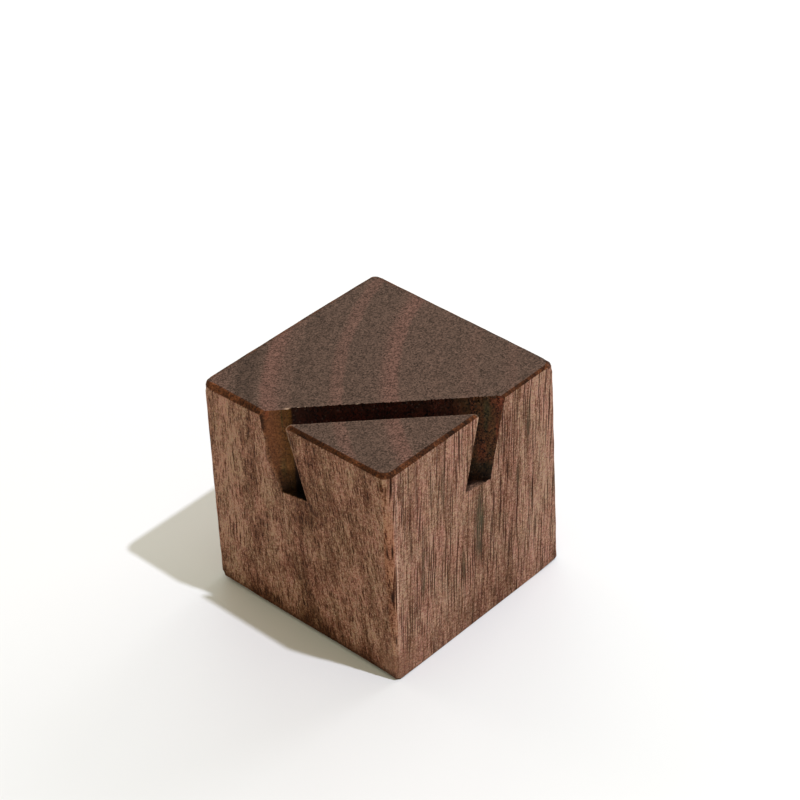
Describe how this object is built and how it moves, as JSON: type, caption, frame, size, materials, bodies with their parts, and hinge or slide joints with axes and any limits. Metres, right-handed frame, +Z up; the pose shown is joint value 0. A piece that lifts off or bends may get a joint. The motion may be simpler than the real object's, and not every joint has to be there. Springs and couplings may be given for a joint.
{
  "type": "place card holder",
  "caption": "Small solid walnut cube that stands a place card in a leaning slot sawn across its front corner, with eased edges and the end grain on top.",
  "frame": {"origin": "centre of the bottom face, where the block stands on the table", "axes": "+Z up along the grain; X and Y square to the side faces; the nose in front of the slot is at the +X -Y corner, and the slot runs along X = Y + constant"},
  "size_m": [0.03, 0.03, 0.03],
  "materials": {
    "walnut": "sanded black walnut, unpolished or with a thin matt oil"
  },
  "bodies": {
    "root": {"walnut_block": "walnut"}
  },
  "joints": []
}
